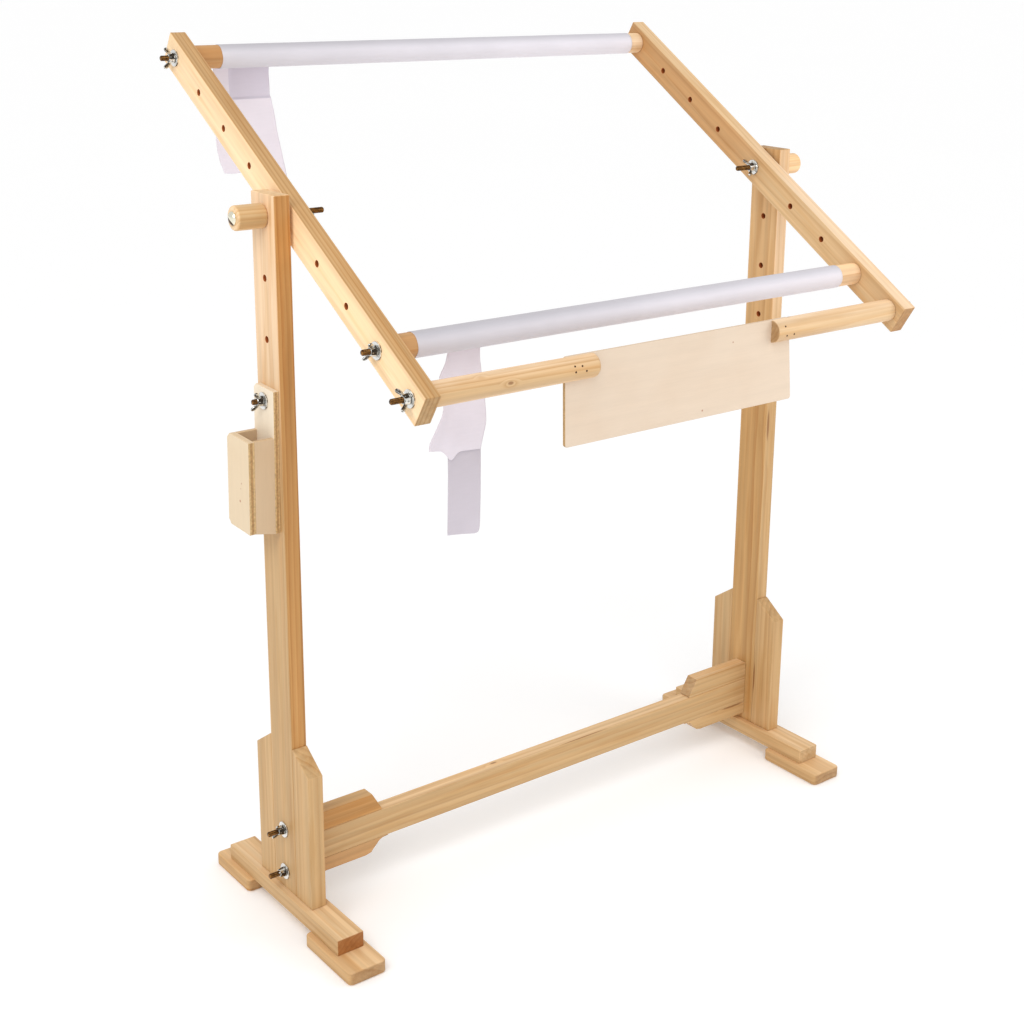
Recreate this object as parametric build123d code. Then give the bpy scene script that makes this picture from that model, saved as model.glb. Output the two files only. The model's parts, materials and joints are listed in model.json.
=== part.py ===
from build123d import *
import math
import os

# Floor stand for a scroll embroidery frame, built from planed pine boards and dowels.
# Millimetres. +X is to the stitcher's right, +Y is away from the stitcher, +Z is up.
# The origin is on the floor, midway between the feet.

# ---- stock sizes -------------------------------------------------------------------
BOARD = 18.0                 # thickness of the planed boards
DOWEL_R = 12.5               # all the round bars are 25 mm dowel
PLY = 4.0                    # thin plywood
THREAD_R = 3.0               # M6 studs and bolts
HOLE_R = 3.25                # drilled holes for M6
RUNNING_R = 3.08             # bore that turns on an M6 thread
RUNNING_GAP = 0.1            # end play between faces that turn on each other

# ---- stand -------------------------------------------------------------------------
POST_OUTER_X = 358.0         # from the middle to the outer face of a post
POST_Y = 46.0                # width of a post, front to back
POST_TOP = 804.0
POST_INNER_X = POST_OUTER_X - BOARD
POST_MID_X = POST_OUTER_X - BOARD / 2

PAD_H = 14.5
PAD_W = 46.0
FRONT_PAD = (-156.0, -63.0)  # front and rear end of a front pad
REAR_PAD = (63.0, 142.0)
PAD_CORNER_R = 6.0

BEAM_W = 32.0
BEAM_H = 18.5
BEAM_ENDS = (-121.0, 119.0)
BEAM_TOP = PAD_H + BEAM_H

GUSSET_Y = 33.0
GUSSET_TOP = 213.0           # where its sloping top meets the post
GUSSET_SHOULDER = 190.0      # where the slope meets its outer face

# ---- stretcher between the posts ---------------------------------------------------
RAIL_Z = (58.5, 93.0)
END_TOP = 116.0
END_BOTTOM = 42.0
UPPER_BLOCK_X = (250.0, 236.5)    # inner end at the top and at the rail
LOWER_BLOCK_X = (254.0, 240.0)    # inner end at the bottom and at the rail
BLOCK_CORNER_R = 6.0
BLOCK_HOLLOW_R = 10.0             # hollow curve that runs a lower block out along the rail
BLOCK_TOE = (230.0, 0.8)          # where that curve ends, and how thin it is there
STUD_Z = (54.5, 106.0)
STUD_OUT = 20.0              # how far a stretcher stud stands out of a post
STUD_IN = 40.0               # how deep a stud is screwed into the wood

# ---- tilting frame -----------------------------------------------------------------
PIVOT_Z = 782.0
HOLE_PITCH = 62.5            # spacing of the height holes in the posts
SPARE_HOLES = 3
TILT = 31.5                  # degrees that the arms slope up to the back
ARM_GAP = 3.8                # between a post and an arm
ARM_W = 36.0
ARM_HALF_L = 284.0
ARM_FIRST = 76.5             # from the pivot to the first spare hole, either way
ARM_PITCH = 62.0
UPPER_ROLLER_U = ARM_FIRST + 3 * ARM_PITCH
LOWER_ROLLER_U = -ARM_FIRST - 2 * ARM_PITCH
REST_BAR_U = -265.0
ARM_OUTER_X = POST_INNER_X - ARM_GAP
ARM_INNER_X = ARM_OUTER_X - BOARD

SLEEVE_R = 13.2              # cloth sewn round a roller
UPPER_SLEEVE_X = (-286.0, 299.0)
LOWER_SLEEVE_X = (-298.5, 286.0)
TAIL_T = 1.6                 # a loose tail, cloth doubled over
TAIL_OFF = 0.4               # clear of the sleeve behind which it hangs

REST_LEFT_END = -118.0       # inner ends of the two halves of the rest bar
REST_RIGHT_END = 129.0
PANEL_TOP_X = (-156.0, 155.5)     # the panel is a little wider at the bottom
PANEL_BOTTOM_X = (-154.0, 164.5)
LAP_X = (-156.3, 158.5)      # where the flats cut into the dowels end
PANEL_DROP = 80.5            # from the rest bar's axis to the panel's lower edge
PANEL_RISE = 12.5
PANEL_CORNER_R = 5.0
NAIL_R = 0.7
LEFT_NAILS = ((-152.5, 5.0), (-143.5, 4.2), (-152.0, -0.5), (-138.5, -1.0))
RIGHT_NAILS = ((139.5, 6.0), (141.5, -4.0), (152.5, -3.6))

# ---- fasteners ---------------------------------------------------------------------
WASHER_R = 9.0
WASHER_BORE_R = 3.2
WASHER_T = 1.6
HUB_R = 5.5
HUB_TOP_R = 4.2
HUB_H = 6.5
WING_SPAN = 23.0
WING_H = 11.0
WING_T = 2.4
NUT_GAP = 0.2                # between a wing nut and its washer
ROLLER_STUD_OUT = 16.5       # beyond an arm's outer face
REST_STUD_OUT = 21.0

KNOB_L = 32.0
BOLT_HEAD_R = 7.0
BOLT_HEAD_H = 4.0
BOLT_TIP_X = 290.0           # the pivot bolts end here, inside the arms
FLAT_HEAD_H = 2.4            # flat head that clears the arm

SCREW_R = 2.2
SCREW_HEAD_R = 4.2
SCREW_HEAD_H = 3.0
SCREW_L = 60.0
SCREW_Y = (-40.0, -12.0, 12.0, 40.0)

# ---- tool box ----------------------------------------------------------------------
BOX_Z = PIVOT_Z - 3 * HOLE_PITCH  # it hangs from the lowest post hole
BOX_TILT = 2.0               # degrees that it leans about its bolt, lower end to the back
BOX_Y = (-20.0, 20.5)        # front and rear edge of the plate and the pocket's sides
PANEL_OVERHANG = 4.8         # the outer panel reaches this much further to the rear
PLATE_T = 6.0
PLATE_UP = 14.0              # plate above the bolt
PLATE_DOWN = 138.5           # plate below the bolt
PLATE_CORNER = 4.0           # corner cut from its top, at the rear
POCKET_TOP = -35.0
POCKET_DOWN = 134.0          # the pocket's lower edge at its outer panel
POCKET_X = 22.0              # depth of the pocket
SIDE_T = 5.0
FRONT_T = 7.0
FRONT_CORNER_R = 7.0
BOX_STUD_OUT = 13.0

WING_ANGLES = {              # degrees that the wings lean, seen from the left
    "left_upper_roller_nut": 8, "right_upper_roller_nut": 70,
    "left_lower_roller_nut": 35, "right_lower_roller_nut": -20,
    "left_rest_bar_nut": -30, "right_rest_bar_nut": 50,
    "left_pivot_nut": 15, "right_pivot_nut": -35,
    "left_upper_stretcher_nut": 30, "left_lower_stretcher_nut": 55,
    "right_upper_stretcher_nut": -10, "right_lower_stretcher_nut": 80,
    "tool_box_nut": 25,
}

parts = {}


def box_between(x, y, z):
    """A box from its low and high limits along each axis."""
    size = [limit[1] - limit[0] for limit in (x, y, z)]
    middle = [(limit[1] + limit[0]) / 2 for limit in (x, y, z)]
    return Pos(*middle) * Box(*size)


def rod(radius, x0, x1, y=0.0, z=0.0):
    """A cylinder along X from x0 to x1."""
    return Pos((x0 + x1) / 2, y, z) * Rot(0, 90, 0) * Cylinder(radius, abs(x1 - x0))


def prism_x(points, x0, x1):
    """A solid of a Y-Z outline, between two X positions."""
    outline = make_face(Polyline(*[(0, y, z) for y, z in points], close=True))
    return Pos(min(x0, x1), 0, 0) * extrude(outline, abs(x1 - x0), dir=(1, 0, 0))


def prism_y(points, y0, y1):
    """A solid of an X-Z outline, between two Y positions."""
    outline = make_face(Polyline(*[(x, 0, z) for x, z in points], close=True))
    return Pos(0, min(y0, y1), 0) * extrude(outline, abs(y1 - y0), dir=(0, 1, 0))


def edge_near(solid, x, z):
    """The edge along Y that passes closest to this X and Z."""
    def distance(edge):
        centre = edge.center()
        return math.hypot(centre.X - x, centre.Z - z)
    return min(solid.edges().filter_by(Axis.Y), key=distance)


def on_arm(u):
    """Y and Z of a point on the arms' centre line, u from the pivot."""
    angle = math.radians(TILT)
    return u * math.cos(angle), PIVOT_Z + u * math.sin(angle)


def side_name(side):
    return "left" if side < 0 else "right"


def washer(x, side, y, z):
    """A penny washer whose inner face is at x and which reaches outward."""
    x_end = x + side * WASHER_T
    return rod(WASHER_R, x, x_end, y, z) - rod(WASHER_BORE_R, x, x_end, y, z)


def wing_nut(name, x, side, y, z):
    """A wing nut whose flat face is at x, with its wings toward side."""
    hub = Cone(HUB_R, HUB_TOP_R, HUB_H, align=(Align.CENTER, Align.CENTER, Align.MIN))
    half = WING_SPAN / 2
    profile = [(HUB_TOP_R - 2.0, 1.2), (half - 4.5, 3.6), (half, 8.2), (half - 2.2, WING_H),
               (half - 5.6, 8.4), (HUB_TOP_R - 2.0, HUB_H)]
    nut = hub
    for turn in (0, 180):
        nut += Rot(0, 0, turn) * prism_y(profile, -WING_T / 2, WING_T / 2)
    bore = Cylinder(RUNNING_R, 2 * WING_H)
    nut -= bore
    lay = Rot(0, 90 * side, 0)
    lean = Rot(WING_ANGLES[name], 0, 0)
    parts[name] = Pos(x, y, z) * lean * lay * nut


def foot(side):
    """A foot beam on two wider pads, screwed to the post and gussets above it."""
    name = side_name(side)
    mid = side * POST_MID_X
    across = (mid - BEAM_W / 2, mid + BEAM_W / 2)
    pad_across = (mid - PAD_W / 2, mid + PAD_W / 2)
    for end, limits in (("front", FRONT_PAD), ("rear", REAR_PAD)):
        pad = box_between(pad_across, limits, (0, PAD_H))
        pad = fillet(pad.edges().filter_by(Axis.Z), PAD_CORNER_R)
        parts[f"{name}_{end}_pad"] = pad
    parts[f"{name}_foot_beam"] = box_between(across, BEAM_ENDS, (PAD_H, BEAM_TOP))


def upright(side):
    """A post with its height holes, and a gusset glued to its front and rear."""
    name = side_name(side)
    x = sorted((side * POST_OUTER_X, side * POST_INNER_X))
    post = box_between(x, (-POST_Y / 2, POST_Y / 2), (BEAM_TOP, POST_TOP))
    for row in range(1, SPARE_HOLES + 1):
        used = side < 0 and row == SPARE_HOLES
        radius = THREAD_R if used else HOLE_R
        post -= rod(radius, *x, z=PIVOT_Z - row * HOLE_PITCH)
    post -= rod(RUNNING_R, *x, z=PIVOT_Z)
    for z in STUD_Z:
        post -= rod(THREAD_R, *x, z=z)
    parts[f"{name}_post"] = post
    for end, sign in (("front", -1), ("rear", 1)):
        near = sign * POST_Y / 2
        far = sign * (POST_Y / 2 + GUSSET_Y)
        outline = [(near, BEAM_TOP), (far, BEAM_TOP), (far, GUSSET_SHOULDER), (near, GUSSET_TOP)]
        parts[f"{name}_{end}_gusset"] = prism_x(outline, *x)


def foot_screws():
    """Wood screws up through the foot beams into the posts and gussets."""
    screws = []
    for side in (-1, 1):
        for y in SCREW_Y:
            shank = Cylinder(SCREW_R, SCREW_L, align=(Align.CENTER, Align.CENTER, Align.MIN))
            head = Cone(SCREW_HEAD_R, SCREW_R, SCREW_HEAD_H,
                        align=(Align.CENTER, Align.CENTER, Align.MIN))
            screws.append(Pos(side * POST_MID_X, y, PAD_H) * (shank + head))
    return screws


def stretcher():
    """The rail between the posts, with glued blocks that deepen its ends."""
    half = BOARD / 2
    rail = box_between((-POST_INNER_X, POST_INNER_X), (-half, half), RAIL_Z)
    parts["stretcher_rail"] = rail
    for side in (-1, 1):
        name = side_name(side)
        end = side * POST_INNER_X
        top_x, rail_x = (side * x for x in UPPER_BLOCK_X)
        upper = [(end, RAIL_Z[1]), (end, END_TOP), (top_x, END_TOP), (rail_x, RAIL_Z[1])]
        low_x, low_rail_x = (side * x for x in LOWER_BLOCK_X)
        toe_x, toe_z = side * BLOCK_TOE[0], RAIL_Z[0] - BLOCK_TOE[1]
        lower = [(end, RAIL_Z[0]), (end, END_BOTTOM), (low_x, END_BOTTOM), (low_rail_x, toe_z),
                 (toe_x, toe_z), (toe_x, RAIL_Z[0])]
        parts[f"{name}_stretcher_top_block"] = prism_y(upper, -half, half)
        block = prism_y(lower, -half, half)
        block = fillet(edge_near(block, low_x, END_BOTTOM), BLOCK_CORNER_R)
        parts[f"{name}_stretcher_bottom_block"] = fillet(edge_near(block, low_rail_x, toe_z), BLOCK_HOLLOW_R)


def stretcher_fixings():
    """Studs through the posts into the stretcher's ends."""
    studs = []
    for side in (-1, 1):
        for z in STUD_Z:
            studs.append(rod(THREAD_R, side * (POST_INNER_X - STUD_IN),
                             side * (POST_OUTER_X + STUD_OUT), z=z))
    return studs


def arm(side):
    """A sloping arm with its row of holes."""
    x = sorted((side * ARM_INNER_X, side * ARM_OUTER_X))
    board = box_between(x, (-ARM_HALF_L, ARM_HALF_L), (-ARM_W / 2, ARM_W / 2))
    spare = [ARM_FIRST + k * ARM_PITCH for k in range(3)]
    spare += [-ARM_FIRST - k * ARM_PITCH for k in range(2)]
    for u in spare:
        board -= rod(HOLE_R, *x, y=u)
    for u in (0, UPPER_ROLLER_U, LOWER_ROLLER_U, REST_BAR_U):
        board -= rod(RUNNING_R, *x, y=u)
    parts[f"{side_name(side)}_arm"] = Pos(0, 0, PIVOT_Z) * Rot(TILT, 0, 0) * board


def roller(name, u, sleeve_x):
    """A dowel between the arms, its cloth sleeve and the studs in its ends."""
    y, z = on_arm(u)
    end = ARM_INNER_X - RUNNING_GAP
    dowel = rod(DOWEL_R, -end, end, y, z)
    studs = []
    for side in (-1, 1):
        stud = rod(THREAD_R, side * (end - STUD_IN), side * (ARM_OUTER_X + ROLLER_STUD_OUT), y, z)
        dowel -= stud
        studs.append(stud)
    parts[f"{name}_roller"] = dowel
    parts[f"{name}_cloth_sleeve"] = rod(SLEEVE_R, *sleeve_x, y, z) - rod(DOWEL_R, *sleeve_x, y, z)
    parts[f"{name}_roller_studs"] = Compound(studs)


def tails():
    """Loose cloth tails that hang behind the left end of each sleeve."""
    y, z = on_arm(UPPER_ROLLER_U)
    y += SLEEVE_R + TAIL_OFF
    upper = [(-284, z - 6), (-217, z - 6), (-214, z - 46), (-197, z - 146), (-238, z - 132),
             (-274, z - 128), (-284, z - 92)]
    parts["upper_cloth_tail"] = prism_y(upper, y, y + TAIL_T)
    y, z = on_arm(LOWER_ROLLER_U)
    y += SLEEVE_R + TAIL_OFF
    lower = [(-245, z - 6), (-209, z - 6), (-202, z - 76), (-207, z - 124), (-209, z - 206),
             (-249, z - 204), (-248, z - 122), (-268, z - 115), (-256, z - 76), (-257, z - 42)]
    parts["lower_cloth_tail"] = prism_y(lower, y, y + TAIL_T)


def rest_bar():
    """Two half-lapped dowels joined by a thin panel nailed to their flats."""
    y, z = on_arm(REST_BAR_U)
    end = ARM_INNER_X - RUNNING_GAP
    top, bottom = z + PANEL_RISE, z - PANEL_DROP
    outline = [(PANEL_BOTTOM_X[0], bottom), (PANEL_BOTTOM_X[1], bottom), (PANEL_TOP_X[1], top),
               (PANEL_TOP_X[0], top)]
    panel = prism_y(outline, y, y + PLY)
    lower_edges = panel.edges().filter_by(Axis.Y).sort_by(Axis.Z)[:2]
    panel = fillet(lower_edges, PANEL_CORNER_R)
    nails, studs = [], []
    for side, inner, places in ((-1, REST_LEFT_END, LEFT_NAILS), (1, REST_RIGHT_END, RIGHT_NAILS)):
        lap_end = LAP_X[0] if side < 0 else LAP_X[1]
        dowel = rod(DOWEL_R, side * end, inner, y, z)
        lap = sorted((lap_end, inner - side * DOWEL_R))
        dowel -= box_between(lap, (y, y + 2 * DOWEL_R), (z - DOWEL_R, z + DOWEL_R))
        stud = rod(THREAD_R, side * (end - STUD_IN), side * (ARM_OUTER_X + REST_STUD_OUT), y, z)
        dowel -= stud
        studs.append(stud)
        for x, dz in places:
            depth = math.sqrt(DOWEL_R ** 2 - dz ** 2)
            nail = Pos(x, y, z + dz) * Rot(90, 0, 0) * Cylinder(
                NAIL_R, depth + PLY, align=(Align.CENTER, Align.CENTER, Align.CENTER))
            nail = Pos(0, (PLY - depth) / 2, 0) * nail
            dowel -= nail
            panel -= nail
            nails.append(nail)
        parts[f"{side_name(side)}_rest_dowel"] = dowel
    parts["rest_panel"] = panel
    parts["panel_nails"] = Compound(nails)
    parts["rest_bar_studs"] = Compound(studs)


def pivot(side):
    """A turned dowel knob and the long bolt through it, the post and the arm."""
    inner = side * (POST_OUTER_X + RUNNING_GAP)
    outer = inner + side * KNOB_L
    knob = rod(DOWEL_R, inner, outer, z=PIVOT_Z)
    knob -= rod(THREAD_R, inner, outer, z=PIVOT_Z)
    parts[f"{side_name(side)}_pivot_knob"] = knob
    shank = rod(THREAD_R, side * BOLT_TIP_X, outer, z=PIVOT_Z)
    head = rod(BOLT_HEAD_R, outer, outer + side * BOLT_HEAD_H, z=PIVOT_Z)
    rim = head.edges().filter_by(GeomType.CIRCLE).sort_by(Axis.X)
    head = fillet(rim[0] if side < 0 else rim[-1], BOLT_HEAD_H - 0.6)
    parts[f"{side_name(side)}_pivot_bolt"] = shank + head


def tool_box():
    """A plywood pocket hung on a bolt through the lowest hole of the left post."""
    face = -POST_OUTER_X - RUNNING_GAP
    y = BOX_Y
    z = (-POCKET_DOWN, POCKET_TOP)
    back = face - PLATE_T
    front = back - POCKET_X
    plate = box_between((back, face), y, (-PLATE_DOWN, PLATE_UP))
    plate = chamfer(plate.edges().filter_by(Axis.X).sort_by(Axis.Y)[2:].sort_by(Axis.Z)[-1], PLATE_CORNER)
    plate -= rod(RUNNING_R, back, face)
    strip = [(front, z[0]), (back, -PLATE_DOWN), (back, z[1]), (front, z[1])]
    sides = {"front": prism_y(strip, y[0], y[0] + SIDE_T), "rear": prism_y(strip, y[1] - SIDE_T, y[1])}
    floor = box_between((front, back), (y[0] + SIDE_T, y[1] - SIDE_T), (z[0], z[0] + SIDE_T))
    panel = box_between((front - FRONT_T, front), (y[0], y[1] + PANEL_OVERHANG), z)
    panel = fillet(panel.edges().filter_by(Axis.X).sort_by(Axis.Y)[2:], FRONT_CORNER_R)
    place = Pos(0, 0, BOX_Z) * Rot(BOX_TILT, 0, 0)
    parts["tool_box_plate"] = place * plate
    parts["tool_box_panel"] = place * panel
    parts["tool_box_floor"] = place * floor
    for end, strip in sides.items():
        parts[f"tool_box_{end}_side"] = place * strip
    tip = back - BOX_STUD_OUT
    shank = rod(THREAD_R, -POST_INNER_X, tip, z=BOX_Z)
    head = rod(BOLT_HEAD_R, -POST_INNER_X, -POST_INNER_X + FLAT_HEAD_H, z=BOX_Z)
    parts["tool_box_bolt"] = shank + head
    return back - RUNNING_GAP


def fasteners(box_face):
    """Washers and wing nuts on every stud and bolt."""
    stand_washers, frame_washers = [], []
    for side in (-1, 1):
        name = side_name(side)
        for level, z in zip(("lower", "upper"), STUD_Z):
            face = side * POST_OUTER_X
            stand_washers.append(washer(face, side, 0, z))
            wing_nut(f"{name}_{level}_stretcher_nut", face + side * (WASHER_T + NUT_GAP), side, 0, z)
        face = side * ARM_OUTER_X
        for label, u in (("upper_roller", UPPER_ROLLER_U), ("lower_roller", LOWER_ROLLER_U),
                         ("rest_bar", REST_BAR_U)):
            y, z = on_arm(u)
            frame_washers.append(washer(face, side, y, z))
            wing_nut(f"{name}_{label}_nut", face + side * (WASHER_T + NUT_GAP), side, y, z)
        inner = side * ARM_INNER_X
        frame_washers.append(washer(inner, -side, 0, PIVOT_Z))
        wing_nut(f"{name}_pivot_nut", inner - side * (WASHER_T + NUT_GAP), -side, 0, PIVOT_Z)
        for row in range(2):
            stand_washers.append(washer(side * (POST_INNER_X - row * WASHER_T), -side, 0, PIVOT_Z))
    stand_washers.append(washer(box_face, -1, 0, BOX_Z))
    wing_nut("tool_box_nut", box_face - WASHER_T - NUT_GAP, -1, 0, BOX_Z)
    parts["stand_washers"] = Compound(stand_washers)
    parts["frame_washers"] = Compound(frame_washers)


for side in (-1, 1):
    foot(side)
    upright(side)
    arm(side)
    pivot(side)
stretcher()
roller("upper", UPPER_ROLLER_U, UPPER_SLEEVE_X)
roller("lower", LOWER_ROLLER_U, LOWER_SLEEVE_X)
tails()
rest_bar()
fasteners(tool_box())

screws = foot_screws()
SCREWED = ("front_gusset", "post", "post", "rear_gusset")
for side, group in ((-1, screws[:len(SCREW_Y)]), (1, screws[len(SCREW_Y):])):
    name = side_name(side)
    for screw, target in zip(group, SCREWED):
        parts[f"{name}_foot_beam"] -= screw
        parts[f"{name}_{target}"] -= screw
parts["foot_screws"] = Compound(screws)

studs = stretcher_fixings()
for stud in studs:
    for node in [n for n in parts if "stretcher" in n and not n.endswith("_nut")]:
        parts[node] -= stud
parts["stretcher_studs"] = Compound(studs)

os.makedirs("parts", exist_ok=True)
for node, solid in parts.items():
    export_step(solid, f"parts/{node}.step")
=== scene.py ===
"""Looks of a floor-standing scroll frame for embroidery: pine boards, dowels, cloth and small hardware."""
import json
import math

import bmesh
import bpy
from mathutils import Matrix, Vector, noise


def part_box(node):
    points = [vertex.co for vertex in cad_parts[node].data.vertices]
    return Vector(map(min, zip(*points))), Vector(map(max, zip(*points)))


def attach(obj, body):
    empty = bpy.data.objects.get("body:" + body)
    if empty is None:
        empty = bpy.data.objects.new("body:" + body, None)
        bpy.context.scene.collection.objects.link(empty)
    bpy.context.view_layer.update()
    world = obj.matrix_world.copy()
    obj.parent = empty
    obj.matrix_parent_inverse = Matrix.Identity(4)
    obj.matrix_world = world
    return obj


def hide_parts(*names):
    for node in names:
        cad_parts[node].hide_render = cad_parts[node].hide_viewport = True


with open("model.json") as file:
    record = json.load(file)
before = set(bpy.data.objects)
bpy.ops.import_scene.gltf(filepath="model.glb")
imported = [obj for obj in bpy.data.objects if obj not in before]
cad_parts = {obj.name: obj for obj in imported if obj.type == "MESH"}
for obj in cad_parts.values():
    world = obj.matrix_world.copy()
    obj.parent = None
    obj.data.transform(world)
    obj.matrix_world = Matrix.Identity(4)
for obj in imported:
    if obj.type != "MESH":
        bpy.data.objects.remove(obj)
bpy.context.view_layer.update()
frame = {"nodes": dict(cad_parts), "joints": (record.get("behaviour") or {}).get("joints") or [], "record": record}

MM = 0.001
TILT = math.radians(31.5)            # slope of the arms
PIVOT = Vector(next(j for j in frame["joints"] if j["name"] == "frame_tilt")["pos_m"])
BODY_OF = {node: body for body, nodes in frame["record"]["behaviour"]["bodies"].items() for node in nodes}
SIDES = {"left": -1, "right": 1}

EDGE = 1.1 * MM                      # rounding of the sawn boards' edges
HOLE_R = 3.25 * MM                   # open holes
BOLT_R = 3.0 * MM                    # studs and bolts
THREAD_PITCH = 1.0 * MM
THREAD_DEPTH = 0.55 * MM


# ---- placing pieces ---------------------------------------------------------------

def adopt(piece, *nodes):
    """The piece stands for these CAD nodes: it takes their body, and the nodes are hidden."""
    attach(piece, BODY_OF[nodes[0]])
    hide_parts(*nodes)
    return piece


def add_object(name, data):
    made = bpy.data.objects.new(name, data)
    bpy.context.scene.collection.objects.link(made)
    return made


def make_object(name, bm, material, flat_faces=True):
    """An object of this mesh, smooth, with its flat faces kept flat."""
    bmesh.ops.remove_doubles(bm, verts=bm.verts, dist=1e-6)
    bmesh.ops.recalc_face_normals(bm, faces=bm.faces)
    mesh = bpy.data.meshes.new(name)
    bm.to_mesh(mesh)
    bm.free()
    mesh.polygons.foreach_set("use_smooth", [True] * len(mesh.polygons))
    mesh.materials.append(material)
    piece = add_object(name, mesh)
    if flat_faces:
        weighted = piece.modifiers.new("weighted", "WEIGHTED_NORMAL")
        weighted.keep_sharp = True
    return piece


def middle(node):
    low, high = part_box(node)
    return (Vector(low) + Vector(high)) / 2


# ---- mesh building ----------------------------------------------------------------

def rounded_loop(points, radius, inset, steps=4):
    """A closed outline, counterclockwise, moved inward by inset, with its corners rounded."""
    loop = []
    for i, corner in enumerate(points):
        run_in = (corner - points[i - 1]).normalized()
        run_out = (points[(i + 1) % len(points)] - corner).normalized()
        inward = Vector((-run_in.y, run_in.x))
        turn = math.atan2(run_in.x * run_out.y - run_in.y * run_out.x, run_in.dot(run_out))
        sign = 1 if turn > 0 else -1
        toward = inward.copy()
        toward.rotate(Matrix.Rotation(turn / 2, 2))
        centre = corner + toward * (sign * radius / math.cos(turn / 2))
        for step in range(steps + 1):
            spoke = inward.copy()
            spoke.rotate(Matrix.Rotation(turn * step / steps, 2))
            loop.append(centre - spoke * (sign * radius - inset))
    return loop


def circle_loop(centre, radius, count=28):
    """A circle's points, clockwise, as a hole's outline."""
    angles = [-2 * math.pi * i / count for i in range(count)]
    return [centre + radius * Vector((math.cos(a), math.sin(a))) for a in angles]


def edge_profile(edge, thickness, steps=4):
    """(inset, depth) pairs across a board's thickness, round at both edges."""
    turns = [math.pi / 2 * k / steps for k in range(steps + 1)]
    low = [(edge * (1 - math.sin(t)), edge * (1 - math.cos(t))) for t in turns]
    return low + [(inset, thickness - depth) for inset, depth in reversed(low)]


def plank(name, material, outline, thickness, place, holes=(), corner=EDGE, edge=EDGE):
    """A board: an outline with rounded edges and drilled holes, set in place by a matrix."""
    outline = [Vector(point) for point in outline]
    area = sum(a.x * b.y - a.y * b.x for a, b in zip(outline, outline[1:] + outline[:1]))
    if area < 0:
        outline.reverse()
    bm = bmesh.new()
    profile = edge_profile(edge, thickness)
    for hole in [None, *holes]:
        rings = []
        for inset, depth in profile:
            if hole is None:
                loop = rounded_loop(outline, max(corner, edge), inset)
            else:
                loop = circle_loop(Vector(hole[:2]), hole[2] + 0.35 * inset)
            rings.append([bm.verts.new((p.x, p.y, depth)) for p in loop])
        skin(bm, rings, slot=0 if hole is None else 1)
    bmesh.ops.remove_doubles(bm, verts=bm.verts, dist=1e-6)
    for level in (0.0, thickness):
        rim = [edge for edge in bm.edges if edge.is_boundary and abs(edge.verts[0].co.z - level) < 1e-6]
        bmesh.ops.triangle_fill(bm, use_beauty=True, use_dissolve=False, edges=rim, normal=(0, 0, 1))
    bm.transform(place)
    board = make_object(name, bm, material)
    board.data.materials.append(BORE_WOOD)
    return board


def skin(bm, rings, closed=True, slot=0):
    """Faces between rings of as many points each."""
    for ring, following in zip(rings, rings[1:]):
        count = len(ring)
        for i in range(count if closed else count - 1):
            j = (i + 1) % count
            face = bm.faces.new((ring[i], ring[j], following[j], following[i]))
            face.material_index = slot


def lathe(bm, profile, place, segments=48, shape=None, slot=0):
    """Turns (radius, height) pairs about local Z. A radius of 0 closes the end."""
    rings = []
    for radius, height in profile:
        ring = []
        for i in range(segments):
            angle = 2 * math.pi * i / segments
            point = Vector((radius * math.cos(angle), radius * math.sin(angle), height))
            if shape:
                point = shape(point)
            ring.append(bm.verts.new(place @ point))
        rings.append(ring)
    skin(bm, rings, slot=slot)


def thread_profile(bm, place, length, plain, radius=BOLT_R, segments=24, per_turn=8):
    """A threaded rod from local Z 0 to length, plain up to the given height."""
    steps = math.ceil((length - plain) / THREAD_PITCH * per_turn)
    heights = [0.0] + [plain + (length - plain) * k / steps for k in range(steps + 1)]
    chamfer = 0.8 * MM
    rings = []
    for height in heights:
        ring = []
        limit = radius - max(0.0, height - length + chamfer)
        for i in range(segments):
            turn = i / segments
            phase = (height / THREAD_PITCH - turn) % 1
            cut = THREAD_DEPTH * abs(2 * phase - 1) if height > plain else 0.0
            angle = 2 * math.pi * turn
            r = min(radius - cut, limit)
            ring.append(bm.verts.new(place @ Vector((r * math.cos(angle), r * math.sin(angle), height))))
        rings.append(ring)
    skin(bm, rings)
    for ring in (rings[0], rings[-1]):
        bm.faces.new(ring)


# ---- shader building --------------------------------------------------------------

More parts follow.
